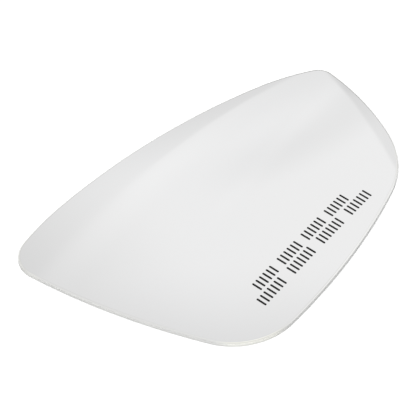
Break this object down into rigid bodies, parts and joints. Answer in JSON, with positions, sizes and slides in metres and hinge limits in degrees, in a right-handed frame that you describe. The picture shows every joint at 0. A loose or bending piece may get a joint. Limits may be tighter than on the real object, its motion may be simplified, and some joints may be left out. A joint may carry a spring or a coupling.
{
  "type": "car door mirror glass",
  "caption": "Convex car door mirror glass: a thin sheet bent to a sphere, silvered, ground round at the edge, with a handed rounded outline that is tall at the car and tapers outward.",
  "frame": {"origin": "middle of the outline's box in plan, on the plane that the glass lies on, mirror side up, on three corners of its rim", "axes": "+X along the width, from the inner side next to the car to the outer side; +Y up the height of the mirror in use; +Z the way the mirror looks, up from the bench"},
  "size_m": [0.1786, 0.117, 0.0053],
  "materials": {
    "silvered_glass": "polished silvered face, fine ground rounded edge, painted back"
  },
  "bodies": {
    "root": {"mirror_glass": "silvered_glass"}
  },
  "joints": []
}
